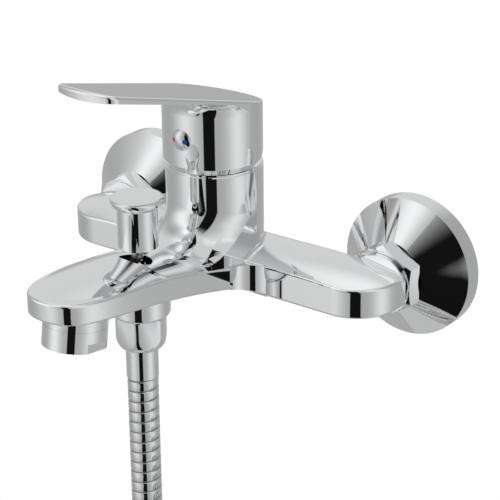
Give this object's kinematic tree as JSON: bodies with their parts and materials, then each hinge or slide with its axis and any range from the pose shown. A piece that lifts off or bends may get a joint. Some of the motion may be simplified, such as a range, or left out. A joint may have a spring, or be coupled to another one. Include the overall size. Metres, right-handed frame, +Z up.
{
  "type": "wall mounted bath faucet",
  "caption": "Chrome wall mounted bath mixer with a single lever, a flat arched spout, a pull-up diverter knob and a ribbed shower hose on its lower outlet.",
  "frame": {"origin": "on the wall, midway between the two inlets", "axes": "+X to the bather's right along the wall, +Y into the wall, +Z up"},
  "size_m": [0.2572, 0.1844, 0.3779],
  "materials": {
    "chrome": "mirror polish",
    "chrome_hose": "bright, ribbed",
    "brass": "machined",
    "steel": "machined",
    "rubber": "matt",
    "ceramic": "polished",
    "cartridge_plastic": "matt",
    "white_plastic": "matt",
    "index_grey": "gloss",
    "hot_red": "gloss",
    "cold_blue": "gloss"
  },
  "bodies": {
    "casting": {"aerator_housing": "chrome", "aerator_insert": "white_plastic", "aerator_seal": "rubber", "base_seal": "rubber", "cartridge_housing": "cartridge_plastic", "cartridge_nut": "brass", "diverter_bush": "chrome", "dome_ring": "chrome", "faucet_body": "chrome", "fixed_disc": "ceramic", "hose_coil": "chrome_hose", "hose_end_ferrule": "chrome", "hose_end_nut": "chrome", "hose_ferrule": "chrome", "hose_nut": "chrome", "hose_stretch": "chrome_hose", "hose_tie": "white_plastic", "hose_washer": "rubber", "inlet_coupling_left": "brass", "inlet_coupling_right": "brass", "inlet_nipple_left": "brass", "inlet_nipple_right": "brass", "inlet_washer_left": "rubber", "inlet_washer_right": "rubber", "outlet_nipple": "brass", "union_nut_left": "chrome", "union_nut_right": "chrome", "wall_flange_left": "chrome", "wall_flange_right": "chrome"},
    "turret": {"cartridge_rotor": "cartridge_plastic", "pivot_pin": "steel"},
    "lever": {"handle": "chrome", "spindle": "steel", "grub_screw": "steel", "index_plug": "index_grey", "hot_mark": "hot_red", "cold_mark": "cold_blue"},
    "mixing_disc": {"moving_disc": "ceramic", "disc_carrier": "cartridge_plastic"},
    "diverter": {"diverter_knob": "chrome", "diverter_rod": "brass", "diverter_valve": "brass", "diverter_seal": "rubber"}
  },
  "joints": [
    {"name": "temperature_turn", "type": "hinge", "parent": "casting", "child": "turret", "pos_m": [0, -0.0532, 0.05], "axis": [0, 0, 1], "range_deg": [-45, 45]},
    {"name": "lever_lift", "type": "hinge", "parent": "turret", "child": "lever", "pos_m": [0, -0.0532, 0.05], "axis": [-1, 0, 0], "range_deg": [0, 18]},
    {"name": "disc_slide", "type": "slide", "parent": "turret", "child": "mixing_disc", "axis": [0, -1, 0], "range_m": [0, 0.00618]},
    {"name": "diverter_lift", "type": "slide", "parent": "casting", "child": "diverter", "axis": [0, 0, 1], "range_m": [0, 0.008]}
  ],
  "couplings": [
    {"joint": "disc_slide", "follows": "lever_lift", "m_per_rad": 0.019673}
  ]
}
